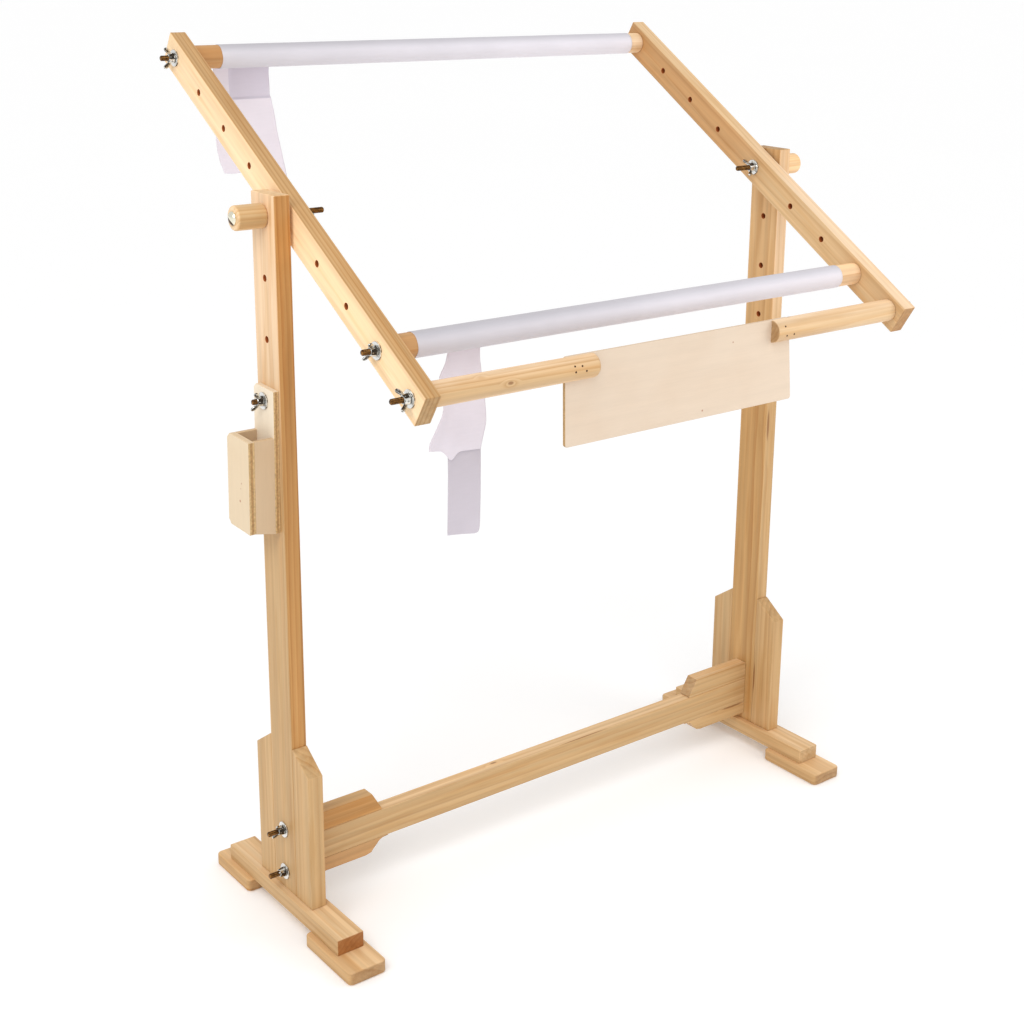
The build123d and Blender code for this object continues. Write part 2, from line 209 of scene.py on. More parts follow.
class Shader:
    """A material and its nodes, with short calls for the kinds used here."""

    def __init__(self, name, roughness=0.5, metallic=0.0, **sockets):
        self.material = bpy.data.materials.new(name)
        self.material.use_nodes = True
        self.tree = self.material.node_tree
        self.surface = self.tree.nodes["Principled BSDF"]
        self.surface.inputs["Roughness"].default_value = roughness
        self.surface.inputs["Metallic"].default_value = metallic
        for socket, value in sockets.items():
            self.surface.inputs[socket.replace("_", " ")].default_value = value

    def plug(self, socket, value):
        if isinstance(value, bpy.types.NodeSocket):
            self.tree.links.new(value, socket)
        else:
            socket.default_value = value

    def node(self, kind, *values, output=0, **settings):
        """A new node with its first sockets filled, and its output socket."""
        made = self.tree.nodes.new("ShaderNode" + kind)
        for setting, value in settings.items():
            setattr(made, setting, value)
        for socket, value in zip(made.inputs, values):
            if value is not None:
                self.plug(socket, value)
        return made.outputs[output]

    def math(self, operation, *values, clamp=False):
        return self.node("Math", *values, operation=operation, use_clamp=clamp)

    def vector(self, operation, *values):
        return self.node("VectorMath", *values, operation=operation)

    def coords(self, kind="Object"):
        made = self.tree.nodes.new("ShaderNodeTexCoord")
        return made.outputs[kind]

    def split(self, vector):
        return [self.node("SeparateXYZ", vector, output=k) for k in range(3)]

    def times(self, first, second):
        return self.math("MULTIPLY", first, second)

    def noise(self, vector, scale, detail=2.0, roughness=0.5):
        return self.node("TexNoise", vector, None, scale, detail, roughness)

    def step(self, value, low, high):
        """0 below low, 1 above high, smooth between."""
        return self.node("MapRange", value, low, high, 0.0, 1.0, interpolation_type="SMOOTHSTEP")

    def mix(self, factor, first, second, blend="MIX"):
        made = self.tree.nodes.new("ShaderNodeMix")
        made.data_type = "RGBA"
        made.blend_type = blend
        self.plug(made.inputs[0], factor)
        self.plug(made.inputs[6], first if isinstance(first, bpy.types.NodeSocket) else (*first, 1))
        self.plug(made.inputs[7], second if isinstance(second, bpy.types.NodeSocket) else (*second, 1))
        return made.outputs[2]

    def tint(self, colour, value, low, high):
        """The colour made darker or lighter: times low where value is 0, times high where it is 1."""
        grey = self.node("MapRange", value, 0.0, 1.0, low, high)
        return self.vector("MULTIPLY", colour, self.node("CombineXYZ", grey, grey, grey))

    def colour(self, value):
        self.plug(self.surface.inputs["Base Color"], value)

    def roughness(self, value, low, high):
        self.plug(self.surface.inputs["Roughness"], self.node("MapRange", value, 0.0, 1.0, low, high))

    def bump(self, height, strength, distance):
        made = self.node("Bump", strength, distance, None, None)
        bump = made.node
        self.plug(bump.inputs["Height"], height)
        self.plug(self.surface.inputs["Normal"], made)


def linear(red, green, blue):
    """A colour given as 0 to 255 screen values, in linear light."""
    def one(value):
        value /= 255
        return value / 12.92 if value <= 0.04045 else ((value + 0.055) / 1.055) ** 2.4
    return tuple(one(value) for value in (red, green, blue))


CREAM = linear(248, 216, 174)        # sanded sapwood
IVORY = linear(236, 207, 173)
PALE = linear(224, 190, 146)
SAND = linear(216, 182, 137)
TAN = linear(203, 168, 121)
HONEY = linear(200, 155, 105)
GOLD = linear(199, 158, 104)
AMBER = linear(193, 144, 86)         # resinous heartwood
END = linear(190, 153, 110)
DARK_END = linear(178, 118, 66)
KNOT = linear(132, 82, 42)
LATE_TINT = (0.74, 0.58, 0.40)       # what the dark half of a year ring does to the colour
HEART_TINT = (0.88, 0.76, 0.58)      # and a resinous streak
WARM_TINT = (0.96, 0.88, 0.77)
CLOUD_TINT = (0.94, 0.89, 0.84)      # a faint warmer cloud on plywood


def facing_shares(shader, facing):
    """How far a surface looks along X, Y and Z. The three add up to 1."""
    return [shader.times(part, part) for part in shader.split(facing)]


def blend_colours(shader, shares, colours):
    total = (0, 0, 0)
    for share, colour in zip(shares, colours):
        weight = shader.node("CombineXYZ", share, share, share)
        total = shader.node("VectorMath", weight, colour, total, operation="MULTIPLY_ADD")
    return total


def blend_numbers(shader, shares, numbers):
    total = 0.0
    for share, number in zip(shares, numbers):
        total = shader.math("MULTIPLY_ADD", share, number, total)
    return total


def knot_fields(shader, place, grain, knots):
    """How dark each knot makes the wood, and how far the year rings bend round it."""
    dark, bend = 0.0, 0.0
    for centre, radius, stretch in knots:
        shrink = [1.0, 1.0, 1.0]
        shrink[grain] = 1 / stretch
        away = shader.vector("MULTIPLY", shader.vector("SUBTRACT", place, centre), shrink)
        away = shader.node("VectorMath", away, operation="LENGTH", output=1)
        dark = shader.math("MAXIMUM", dark, shader.step(away, radius, 0.45 * radius))
        swirl = shader.step(away, 3.2 * radius, 0.2 * radius)
        bend = shader.math("MULTIPLY_ADD", swirl, 2.6 * radius, bend)
    return dark, bend


def year_rings(shader, across, depth, wander, bend, ring, seed):
    """1 in the dark late wood of each year ring, 0 in the pale early wood."""
    across = shader.math("MULTIPLY_ADD", wander, 16 * MM, across)
    squares = [shader.times(value, value) for value in (across, depth)]
    radius = shader.math("ADD", shader.math("SQRT", shader.math("ADD", *squares)), bend)
    years = shader.math("DIVIDE", radius, ring)
    year = shader.math("FRACT", years)
    number = shader.math("ADD", shader.math("FLOOR", years), seed)
    strength = shader.node("TexWhiteNoise", None, number, noise_dimensions="1D")
    growth = shader.math("POWER", year, 1.8)
    growth = shader.times(growth, shader.step(year, 1.0, 0.88))
    return shader.times(growth, shader.node("MapRange", strength, 0.0, 1.0, 0.15, 1.0))


def dark_bands(shader, across, wander, centres):
    """1 on narrow lines that follow the grain, each centred at a place across it."""
    across = shader.math("MULTIPLY_ADD", wander, 2.6 * MM, shader.math("SUBTRACT", across, 1.3 * MM))
    dark = 0.0
    for centre in centres:
        away = shader.math("ABSOLUTE", shader.math("SUBTRACT", across, centre))
        dark = shader.math("MAXIMUM", dark, shader.step(away, 1.5 * MM, 0.4 * MM))
    return shader.times(dark, 0.62)


def pine(name, grain, pith, looks, ring=3.6 * MM, contrast=(0.8, 0.8, 0.8), knots=(), seed=0.0,
         tilted=False, fade=None, bands=()):
    """Softwood cut from a log: year rings about a pith line, fibres along the grain, end grain.

    grain is the axis 0, 1 or 2 that the fibres follow. pith is where the log's centre lies on
    the other two axes. looks and contrast are the colours and the depth of the rings on faces
    that look along X, Y and Z. knots are (centre, radius, stretch along the grain). fade is the
    looks at the far end of the board, and where along it the change starts and stops."""
    shader = Shader(name, roughness=0.5, Specular_IOR_Level=0.3)
    place = shader.coords()
    facing = shader.coords("Normal")
    if tilted:
        place = shader.node("VectorRotate", place, tuple(PIVOT), (1, 0, 0), -TILT)
        facing = shader.node("VectorRotate", facing, (0, 0, 0), (1, 0, 0), -TILT)
    axes = shader.split(place)
    first, second = [axes[k] for k in range(3) if k != grain]
    drawn_out, fibres = [
        shader.node("CombineXYZ", first, second, shader.math("MULTIPLY_ADD", axes[grain], stretch, seed))
        for stretch in (0.07, 0.025)]
    shares = facing_shares(shader, facing)
    ends = shader.step(shares[grain], 0.4, 0.85)

    knot, bend = knot_fields(shader, place, grain, knots)
    across = shader.math("SUBTRACT", first, pith[0])
    depth = shader.math("SUBTRACT", second, pith[1])
    wander = shader.noise(drawn_out, 26.0, 2.0, 0.55)
    growth = year_rings(shader, across, depth, wander, bend, ring, seed)
    colour = blend_colours(shader, shares, looks)
    if fade:
        far_looks, start, stop = fade
        colour = shader.mix(shader.step(axes[grain], start, stop), colour,
                            blend_colours(shader, shares, far_looks))

    resin = shader.step(shader.noise(drawn_out, 85.0, 3.0, 0.6), 0.48, 0.64)
    resin = shader.times(resin, 0.5)
    colour = shader.mix(resin, colour, shader.vector("MULTIPLY", colour, HEART_TINT))
    ring_depth = shader.math("MAXIMUM", blend_numbers(shader, shares, contrast),
                             shader.times(ends, 0.75))
    late = shader.math("MULTIPLY", growth, ring_depth, clamp=True)
    if bands:
        on_edge = shader.math("SUBTRACT", 1.0, shares[0])
        lines = shader.times(dark_bands(shader, first, wander, bands), on_edge)
        late = shader.math("MAXIMUM", late, lines)
    colour = shader.mix(late, colour, shader.vector("MULTIPLY", colour, LATE_TINT))

    fibre = shader.noise(fibres, 900.0, 3.0, 0.6)
    broad = shader.step(shader.noise(drawn_out, 9.0, 1.0, 0.5), 0.40, 0.70)
    colour = shader.tint(colour, shader.noise(fibres, 150.0, 2.0, 0.5), 0.74, 1.26)
    colour = shader.tint(colour, fibre, 0.92, 1.08)
    warm = shader.vector("MULTIPLY", colour, WARM_TINT)
    colour = shader.mix(shader.times(broad, 0.8), colour, warm)
    pores = shader.times(shader.noise(place, 900.0, 3.0, 0.7), ends)
    colour = shader.tint(colour, pores, 1.0, 0.74)
    if knots:
        colour = shader.mix(shader.times(knot, 0.7), colour, KNOT)
    shader.colour(colour)
    shader.roughness(growth, 0.54, 0.42)
    relief = shader.math("MULTIPLY_ADD", growth, 0.6, shader.times(fibre, 0.5))
    shader.bump(relief, 0.3, 0.25 * MM)
    return shader.material


def bore_wood():
    """The dark, rough wall of a drilled hole."""
    shader = Shader("bore_wood", roughness=0.8, Specular_IOR_Level=0.1)
    speck = shader.noise(shader.coords(), 1500.0, 2.0, 0.6)
    shader.colour(shader.tint(linear(170, 92, 46), speck, 0.6, 1.3))
    shader.bump(speck, 0.4, 0.2 * MM)
    return shader.material


def plywood(name, layers, low, high, tone, seed=0.0, spots=(), grain=2):
    """Thin plywood: a pale sliced face, and edges that show plies across the axis named layers."""
    shader = Shader(name, roughness=0.6, Specular_IOR_Level=0.3)
    place = shader.coords()
    axes = shader.split(place)
    shares = facing_shares(shader, shader.coords("Normal"))
    run = list(axes)
    run[grain] = shader.math("MULTIPLY_ADD", axes[grain], 0.06, seed)
    drawn_out = shader.node("CombineXYZ", *run)
    veneer = shader.noise(drawn_out, 130.0, 3.0, 0.6)
    fine = shader.noise(drawn_out, 1100.0, 2.0, 0.6)
    cloud = shader.step(shader.noise(place, 14.0, 2.0, 0.5), 0.4, 0.75)
    face = shader.tint(tone, veneer, 0.95, 1.05)
    face = shader.tint(face, fine, 0.965, 1.03)
    face = shader.mix(shader.times(cloud, 0.4), face,
                      shader.vector("MULTIPLY", face, CLOUD_TINT))
    ply = shader.node("MapRange", axes[layers], low, high, -1.0, 1.0)
    core = shader.step(shader.math("ABSOLUTE", ply), 0.50, 0.28)
    edge = shader.mix(core, PLY_EDGE, PLY_CORE)
    speck = shader.noise(place, 480.0, 3.0, 0.7)
    edge = shader.tint(edge, shader.step(speck, 0.3, 0.7), 0.72, 1.16)
    beside = shader.math("SUBTRACT", shader.step(shares[layers], 0.6, 0.3),
                         shader.math("MULTIPLY", shares[2], 0.75), clamp=True)
    colour = shader.mix(beside, face, edge)
    for centre, size in spots:
        away = shader.node("VectorMath", place, centre, operation="DISTANCE", output=1)
        spot = shader.times(shader.step(away, size, 0.4 * size), 0.85)
        colour = shader.mix(spot, colour, linear(176, 116, 88))
    shader.colour(colour)
    shader.bump(shader.math("ADD", veneer, fine), 0.18, 0.2 * MM)
    return shader.material


def steel(name, tone, shade, roughness, lighten=0.50, painted_shade_side=None):
    """Plated steel with painted dark reflections: darker in patches that follow the surface's slope.

    The lower the threshold, the more of it is painted dark. With a shade side given, the painted shade is on the
    side that looks that way."""
    shader = Shader(name, roughness=roughness, metallic=1.0)
    place = shader.coords()
    # patch noise: part of the painted dark reflections, and a faint bump
    patch_noise = shader.noise(place, 260.0, 3.0, 0.6)
    facing = shader.coords("Normal")
    if painted_shade_side:
        slope = shader.node("VectorMath", facing, painted_shade_side, operation="DOT_PRODUCT", output=1)
        slope = shader.step(slope, 0.52, 0.64)
    else:
        slope = shader.noise(facing, 1.7, 2.0, 0.4)
    # painted dark reflection: noise patches and the surface's facing together, turned to the shade colour past the
    # threshold
    painted_dark_reflection = shader.math("MULTIPLY_ADD", patch_noise, 0.3, shader.times(slope, 0.85))
    colour = shader.mix(shader.step(painted_dark_reflection, lighten, lighten + 0.14), tone, shade)
    shader.colour(colour)
    shader.roughness(shader.noise(place, 780.0, 2.0, 0.5), roughness - 0.08, roughness + 0.16)
    shader.bump(patch_noise, 0.12, 0.1 * MM)
    return shader.material


def cloth(name, tone):
    """A closely woven, slightly shiny lining cloth, greyer toward the left, with painted shade on the faces that
    look up.
    """
    shader = Shader(name, roughness=0.62, Specular_IOR_Level=0.3, Sheen_Weight=0.2, Sheen_Roughness=0.4)
    place = shader.coords()
    axes = shader.split(place)
    thread = 2 * math.pi / (0.55 * MM)
    rows = [shader.math("SINE", shader.times(axis, thread)) for axis in axes]
    weave = shader.times(rows[0], shader.math("ADD", rows[1], rows[2]))
    slub = shader.noise(shader.vector("MULTIPLY", place, (1.0, 8.0, 8.0)), 60.0, 2.0, 0.5)
    cloud = shader.noise(place, 20.0, 2.0, 0.5)
    # greyer toward the left, lighter toward the right
    lighten = shader.step(axes[0], -0.28, 0.16)
    # painted shade: the faces that look up are made darker
    painted_top_shade = shader.step(shader.split(shader.coords("Normal"))[2], 0.25, 1.0)
    colour = shader.tint(tone, slub, 0.97, 1.02)
    colour = shader.tint(colour, cloud, 0.94, 1.04)
    colour = shader.tint(colour, lighten, 0.90, 1.06)
    colour = shader.tint(colour, painted_top_shade, 1.0, 0.75)
    colour = shader.tint(colour, shader.math("MULTIPLY_ADD", weave, 0.25, 0.5), 0.985, 1.01)
    shader.colour(colour)
    shader.bump(shader.math("MULTIPLY_ADD", weave, 0.2, slub), 0.25, 0.15 * MM)
    return shader.material


PANEL_TONE = linear(228, 208, 186)
PLATE_TONE = linear(238, 222, 198)
BOX_TONE = linear(225, 204, 173)
BOX_SIDE_TONE = linear(206, 178, 144)
PLY_EDGE = linear(206, 172, 122)
PLY_CORE = linear(178, 138, 90)
BORE_WOOD = bore_wood()
# steel(name, tone, the colour of the painted dark reflections, roughness)
ZINC = steel("zinc", (0.80, 0.80, 0.78), (0.12, 0.10, 0.08), 0.24)
CAST_ZINC = steel("cast_zinc", (0.84, 0.84, 0.80), (0.05, 0.04, 0.03), 0.2, lighten=0.49)
BRONZED = steel("bronzed_steel", (0.36, 0.17, 0.045), (0.045, 0.022, 0.01), 0.34, lighten=0.46)
# the bolt heads: a bright tone, with painted shade on the lower left side
POLISHED = steel("polished_steel", (0.90, 0.86, 0.70), (0.10, 0.05, 0.02), 0.2, painted_shade_side=(-0.55, 0.45, -0.70))
NAIL = steel("nail_steel", (0.11, 0.05, 0.03), (0.04, 0.02, 0.01), 0.5)
CLOTH = cloth("lining_cloth", linear(223, 219, 226))
TAIL = cloth("tail_cloth", linear(246, 238, 247))
# darker copies of the tail cloth: painted shade for the parts of the tails that sit in shade
SHADED_UPPER_TAIL = cloth("upper_tail_painted_shade", linear(227, 219, 232))
SHADED_LOWER_TAIL = cloth("lower_tail_painted_shade", linear(217, 209, 218))


# ---- stand ------------------------------------------------------------------------

YZ = Matrix(((0, 0, 1, 0), (1, 0, 0, 0), (0, 1, 0, 0), (0, 0, 0, 1)))   # outline (y, z), depth x
XZ = Matrix(((1, 0, 0, 0), (0, 0, -1, 0), (0, 1, 0, 0), (0, 0, 0, 1)))  # outline (x, z), depth -y
XY = Matrix.Identity(4)                                                 # outline (x, y), depth z


def rectangle(low, high):
    return [(low[0], low[1]), (high[0], low[1]), (high[0], high[1]), (low[0], high[1])]


def yz_board(node, material, outline=None, holes=(), **rounding):
    """A board whose broad faces look along X."""
    low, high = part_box(node)
    outline = outline or rectangle(low[1:], high[1:])
    place = Matrix.Translation((low[0], 0, 0)) @ YZ
    board = plank(node + "_wood", material, outline, high[0] - low[0], place, holes, **rounding)
    return adopt(board, node)


def xz_board(node, material, outline=None, holes=(), **rounding):
    """A board whose broad faces look along Y."""
    low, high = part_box(node)
    outline = outline or rectangle((low[0], low[2]), (high[0], high[2]))
    place = Matrix.Translation((0, high[1], 0)) @ XZ
    board = plank(node + "_wood", material, outline, high[1] - low[1], place, holes, **rounding)
    return adopt(board, node)


HOLE_PITCH = 62.5 * MM               # between the rows of holes in a post
STRETCHER_BOLT_Z = (54.5 * MM, 106 * MM)
POST_LOOKS = {"left": (TAN, AMBER, PALE), "right": (GOLD, TAN, TAN)}
POST_TOP_LOOKS = {"left": (IVORY, AMBER, CREAM), "right": (SAND, IVORY, TAN)}
POST_FADE = (480 * MM, 700 * MM)     # between these heights the looks change
POST_RINGS = {"left": 1.1, "right": 0.45}                       # on their front and rear faces
POST_KNOTS = {                       # long streaks of resin
    "left": [((-0.355, -0.018, 0.735), 1.6 * MM, 24), ((-0.349, -0.018, 0.500), 1.9 * MM, 30)],
    "right": [((0.344, -0.023, 0.452), 2.6 * MM, 10)],
}
GUSSET_KNOTS = {"right_front": [((0.340, -0.025, 0.100), 1.8 * MM, 14)]}


def posts():
    holes = [(0.0, PIVOT.z - row * HOLE_PITCH, HOLE_R) for row in range(4)]
    holes += [(0.0, z, HOLE_R) for z in STRETCHER_BOLT_Z]
    for name, side in SIDES.items():
        wood = pine(f"{name}_post_pine", 2, (side * 0.29, 0.012), POST_LOOKS[name], ring=5.2 * MM,
                    contrast=(0.8, POST_RINGS[name], 0.8), seed=side * 3.1, knots=POST_KNOTS[name],
                    fade=(POST_TOP_LOOKS[name], *POST_FADE))
        yz_board(f"{name}_post", wood, holes=holes)


def gussets():
    shoulder = 190 * MM              # where the slanted top of a gusset starts
    for name, side in SIDES.items():
        for end, sign in (("front", -1), ("rear", 1)):
            node = f"{name}_{end}_gusset"
            low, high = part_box(node)
            near, far = (high[1], low[1]) if sign < 0 else (low[1], high[1])
            outline = [(near, low[2]), (far, low[2]), (far, shoulder), (near, high[2])]
            wood = pine(f"{node}_pine", 2, (side * 0.40, sign * 0.09), (TAN, TAN, TAN), ring=6 * MM,
                        seed=side + 5.0 * sign, knots=GUSSET_KNOTS.get(f"{name}_{end}", ()))
            yz_board(node, wood, outline)


BEAM_ENDS = {"left": DARK_END, "right": SAND}
STRETCHER_KNOTS = [((-0.072, 0.0035, 0.0935), 2.2 * MM, 3), ((0.060, -0.0090, 0.0925), 1.0 * MM, 50)]
BLOCK_LOOKS = {("left", "top"): AMBER, ("left", "bottom"): HONEY,
               ("right", "top"): TAN, ("right", "bottom"): TAN}         # faces that look along Y
BLOCK_TOPS = {"left": TAN, "right": PALE}                               # faces that look along Z
BLOCK_KNOTS = {("right", "bottom"): [((0.318, -0.0085, 0.058), 2.4 * MM, 10)]}


def feet():
    for name, side in SIDES.items():
        node = f"{name}_foot_beam"
        wood = pine(f"{node}_pine", 1, (side * 0.30, -0.03), (TAN, BEAM_ENDS[name], PALE), ring=5 * MM,
                    seed=side * 7.0)
        yz_board(node, wood)
        for end in ("front", "rear"):
            node = f"{name}_{end}_pad"
            low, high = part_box(node)
            wood = pine(f"{node}_pine", 1, (side * 0.36, -0.05), (TAN, END, PALE), ring=6 * MM,
                        seed=side * 9.0 + low[1] * 10)
            place = Matrix.Translation((0, 0, low[2])) @ XY
            pad = plank(node + "_wood", wood, rectangle(low, high), high[2] - low[2], place,
                        corner=6 * MM, edge=2 * MM)
            adopt(pad, node)


BLOCK_END = 340 * MM
TOP_BLOCK = (250 * MM, 236.5 * MM)      # its inner end at the top and at the rail
BOTTOM_BLOCK = (254 * MM, 240 * MM)     # its inner end at the bottom and at the rail
BLOCK_ROUND = 6 * MM
TOE = (230 * MM, 0.8 * MM)              # where the thin toe ends, and its thickness


def bottom_block_outline(rail, bottom):
    """The lower block's outline on the right: rounded at its corner, then hollow out to a thin toe."""
    outline = [(BLOCK_END, rail), (BLOCK_END, bottom), (BOTTOM_BLOCK[0] + BLOCK_ROUND, bottom)]
    outline += [(BOTTOM_BLOCK[0] - 1.2 * MM, bottom + 1.6 * MM),
                (BOTTOM_BLOCK[0] - 4 * MM, bottom + 5 * MM)]
    toe = rail - TOE[1]
    hollow = [(5.2, 6.2), (3.4, 3.9), (0.8, 1.9), (-2.4, 0.6), (-6.0, 0.0)]
    outline += [(BOTTOM_BLOCK[1] + x * MM, toe - drop * MM) for x, drop in hollow]
    return outline + [(TOE[0], toe), (TOE[0], rail)]


def stretcher():
    low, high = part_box("stretcher_rail")
    wood = pine("stretcher_pine", 0, (0.03, 0.105), (END, TAN, PALE), ring=6.5 * MM, seed=2.0,
                knots=STRETCHER_KNOTS)
    xz_board("stretcher_rail", wood)
    for name, side in SIDES.items():
        for level in ("top", "bottom"):
            node = f"{name}_stretcher_{level}_block"
            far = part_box(node)[1].z if level == "top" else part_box(node)[0].z
            if level == "top":
                outline = [(BLOCK_END, high[2]), (BLOCK_END, far), (TOP_BLOCK[0], far),
                           (TOP_BLOCK[1], high[2])]
            else:
                outline = bottom_block_outline(low[2], far)
            outline = [(side * x, z) for x, z in outline]
            looks = (END, BLOCK_LOOKS[name, level], BLOCK_TOPS[name])
            wood = pine(f"{node}_pine", 0, (0.02, far + 0.02), looks, ring=5 * MM,
                        seed=side * 4.0 + far * 30, knots=BLOCK_KNOTS.get((name, level), ()))
            xz_board(node, wood, outline, corner=0.5 * MM, edge=0.5 * MM if level == "bottom" else EDGE)


# ---- frame ------------------------------------------------------------------------

ARM_FIRST = 76.5 * MM                # from the pivot to the nearest hole along the arm
ARM_PITCH = 62.0 * MM
ARM_HALF = (284 * MM, 18 * MM)       # half its length and half its depth
UPPER_U = ARM_FIRST + 3 * ARM_PITCH  # where along the arm the rollers and the rest bar are
LOWER_U = -ARM_FIRST - 2 * ARM_PITCH
REST_U = -265 * MM
ARM_LOOKS = {"left": (CREAM, TAN, TAN), "right": (SAND, HONEY, IVORY)}
ARM_TOP_LOOKS = {"left": (CREAM, TAN, TAN), "right": (HONEY, HONEY, PALE)}
ARM_FADE = (-60 * MM, 60 * MM)       # between these places the looks change
ARM_RINGS = {"left": (0.3, 0.9, 1.9), "right": (0.9, 0.9, 0.6)}
ARM_BANDS = {"left": (1.2, 5.3, 9.9, 15.2), "right": ()}        # in from the outer face, in millimetres


def arms():
    spots = [ARM_FIRST + k * ARM_PITCH for k in range(4)]
    spots += [-ARM_FIRST - k * ARM_PITCH for k in range(3)] + [0.0, REST_U]
    holes = [(u, 0.0, HOLE_R) for u in spots]
    for name, side in SIDES.items():
        low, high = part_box(f"{name}_arm")
        place = Matrix.Translation((low[0], PIVOT.y, PIVOT.z)) @ Matrix.Rotation(TILT, 4, "X") @ YZ
        bands = [low[0] + inset * MM for inset in ARM_BANDS[name]]
        wood = pine(f"{name}_arm_pine", 1, (side * 0.30, PIVOT.z + 0.004), ARM_LOOKS[name], ring=5.6 * MM,
                    contrast=ARM_RINGS[name], seed=side * 6.0, tilted=True,
                    fade=(ARM_TOP_LOOKS[name], *ARM_FADE), bands=bands)
        outline = rectangle((-ARM_HALF[0], -ARM_HALF[1]), ARM_HALF)
        arm = plank(f"{name}_arm_wood", wood, outline, high[0] - low[0], place, holes)
        adopt(arm, f"{name}_arm")


DOWEL_R = 12.5 * MM
ROUNDING = (0.0, 0.4, 0.8, 1.2, math.pi / 2)     # angles round a dowel's edge, from its end to its side


def dowel(node, material, flat_from=None, end_round=1.0 * MM, inner_round=1.0 * MM):
    """A round bar along X. flat_from is where its rear half is cut away, toward the middle."""
    low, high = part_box(node)
    y, z = middle(node).y, middle(node).z
    if flat_from is not None:
        y = low[1] + DOWEL_R
    from_left = flat_from is None or abs(low[0]) > abs(high[0])
    outer, inner = (low[0], high[0]) if from_left else (high[0], low[0])
    way = 1 if inner > outer else -1
    length = abs(inner - outer)
    profile = [(0.0, 0.0)]
    profile += [(DOWEL_R - end_round * (1 - math.sin(t)), end_round * (1 - math.cos(t)))
                for t in ROUNDING]
    far_end = [(DOWEL_R - inner_round * (1 - math.sin(t)), length - inner_round * (1 - math.cos(t)))
               for t in reversed(ROUNDING)]
    if flat_from is None:
        profile += far_end
        shape = None
    else:
        cut = abs(flat_from - outer)
        profile += [(DOWEL_R, cut), (DOWEL_R, cut + 1e-5)] + far_end

        def shape(point):
            if point.z > cut and point.y > 0:
                point.y = 0.0
            return point
    profile.append((0.0, length))
    bm = bmesh.new()
    place = Matrix.Translation((outer, y, z)) @ Matrix.Rotation(way * math.pi / 2, 4, "Y")
    lathe(bm, profile, place, segments=72, shape=shape)
    return adopt(make_object(node + "_wood", bm, material), node)


def rollers():
    for name, offset in (("upper", 0.0), ("lower", 4.0)):
        centre = middle(f"{name}_roller")
        wood = pine(f"{name}_roller_pine", 0, (centre.y + 0.03, centre.z - 0.02), (END, HONEY, HONEY),
                    ring=4 * MM, seed=offset, fade=((END, IVORY, CREAM), 200 * MM, 260 * MM))
        dowel(f"{name}_roller", wood)


KNOB_LOOKS = {"left": (CREAM, TAN, SAND), "right": (CREAM, CREAM, CREAM)}


def knobs():
    for name, side in SIDES.items():
        centre = middle(f"{name}_pivot_knob")
        wood = pine(f"{name}_knob_pine", 0, (centre.y + 0.02, centre.z + 0.03), KNOB_LOOKS[name],
                    ring=4 * MM, seed=side)
        dowel(f"{name}_pivot_knob", wood, end_round=2.2 * MM, inner_round=2.2 * MM)


REST_LOOKS = {"left": (END, SAND, IVORY), "right": (END, PALE, IVORY)}
REST_RINGS = {"left": (0.8, 0.9, 0.9), "right": (0.8, 0.5, 0.5)}
PANEL_TOP_X = (-156.0 * MM, 155.5 * MM)
PANEL_BOTTOM_X = (-154.0 * MM, 164.5 * MM)
LAP_X = {"left": -156.3 * MM, "right": 158.5 * MM}      # where each dowel's flat half starts
NAILS = ((-152.5, 5.0), (-143.5, 4.2), (-152.0, -0.5), (-138.5, -1.0), (139.5, 6.0), (141.5, -4.0),
         (152.5, -3.6))              # x and height about the axis, in millimetres


def rest_bar():
    low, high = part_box("rest_panel")
    axis = rest_axis()
    front = axis.y - DOWEL_R
    knots = {"left": [((-0.262, front + 0.006, 0.656), 1.8 * MM, 2),
                      ((-0.231, front, 0.6445), 2.2 * MM, 2)],
             "right": ()}
    for name, side in SIDES.items():
        wood = pine(f"{name}_rest_pine", 0, (axis.y + 0.035, axis.z + 0.02), REST_LOOKS[name],
                    ring=4.4 * MM, contrast=REST_RINGS[name], seed=side * 2.5, knots=knots[name])
        inner_round = 5 * MM if side < 0 else 1.2 * MM
        dowel(f"{name}_rest_dowel", wood, flat_from=LAP_X[name], inner_round=inner_round)
    veneer = plywood("panel_plywood", 1, low[1], high[1], PANEL_TONE, seed=1.0, grain=0,
                     spots=[((0.072, low[1], 0.6395), 1.2 * MM), ((0.031, low[1], 0.571), 1.5 * MM)])
    outline = [(PANEL_BOTTOM_X[0], low[2]), (PANEL_BOTTOM_X[1], low[2]), (PANEL_TOP_X[1], high[2]),
               (PANEL_TOP_X[0], high[2])]
    xz_board("rest_panel", veneer, outline, corner=3 * MM, edge=0.5 * MM)


def rest_axis():
    """A point on the rest bar's axis."""
    low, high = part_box("left_rest_dowel")
    return Vector((0, low[1] + DOWEL_R, (low[2] + high[2]) / 2))


def panel_nails():
    """Domed nail heads on the rest bar's front, with their shanks behind them."""
    axis = rest_axis()
    forward = Matrix.Rotation(math.pi / 2, 4, "X")
    bm = bmesh.new()
    profile = [(0.0, 0.45), (0.6, 0.4), (1.0, 0.15), (1.15, -0.1), (1.1, -0.6), (0.7, -0.8), (0.7, -14.0),
               (0.0, -14.5)]
    for x, up in NAILS:
        out = math.sqrt(DOWEL_R ** 2 - (up * MM) ** 2)
        place = Matrix.Translation((x * MM, axis.y - out, axis.z + up * MM)) @ forward
        lathe(bm, [(r * MM, h * MM) for r, h in profile], place, segments=16)
    adopt(make_object("panel_nail_heads", bm, NAIL, False), "panel_nails")


# ---- tool box ---------------------------------------------------------------------

BOX_BOLT_Z = PIVOT.z - 3 * HOLE_PITCH
BOX_TILT = math.radians(2.0)
BOX_FRONT = -20 * MM
BOX_REAR = 20.5 * MM
OVERHANG = 4.8 * MM                  # how far the pocket's front panel passes its rear side
PLATE_UP = 14 * MM
PLATE_DOWN = 138.5 * MM
PLATE_CORNER = 4 * MM
POCKET_TOP = -35 * MM
POCKET_DOWN = 134 * MM
SIDE_T = 5 * MM


